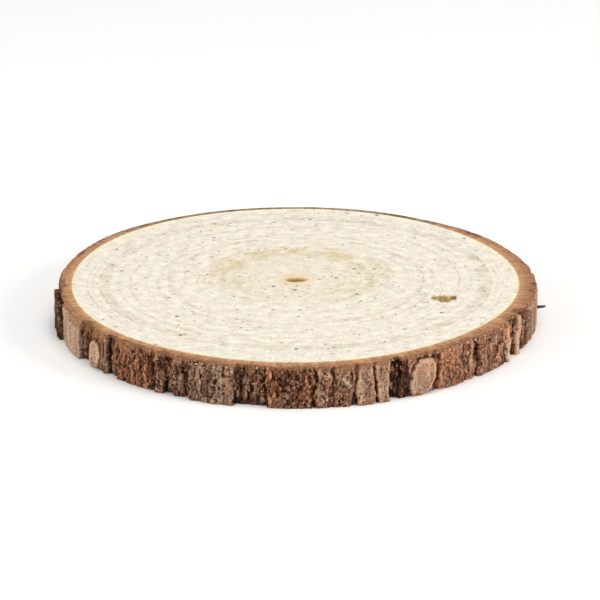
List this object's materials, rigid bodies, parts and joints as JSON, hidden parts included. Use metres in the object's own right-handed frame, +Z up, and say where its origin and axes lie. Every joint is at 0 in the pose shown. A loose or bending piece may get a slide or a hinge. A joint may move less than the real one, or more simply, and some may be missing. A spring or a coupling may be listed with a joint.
{
  "type": "wood slice",
  "caption": "Thin round cross-cut of a small trunk with rough bark left on, for crafts, coasters or rustic table decor.",
  "frame": {"origin": "middle of the underside", "axes": "+Z up through the thickness, along the trunk's grain; +X to the right and +Y to the back as the slice lies with its torn knot front right"},
  "size_m": [0.102, 0.099, 0.0084],
  "materials": {
    "sawn_wood": "raw sawn end grain, unsanded and unsealed",
    "bark": "dry natural bark, rough and matte"
  },
  "bodies": {
    "root": {"wood_slice": "sawn_wood"}
  },
  "joints": []
}
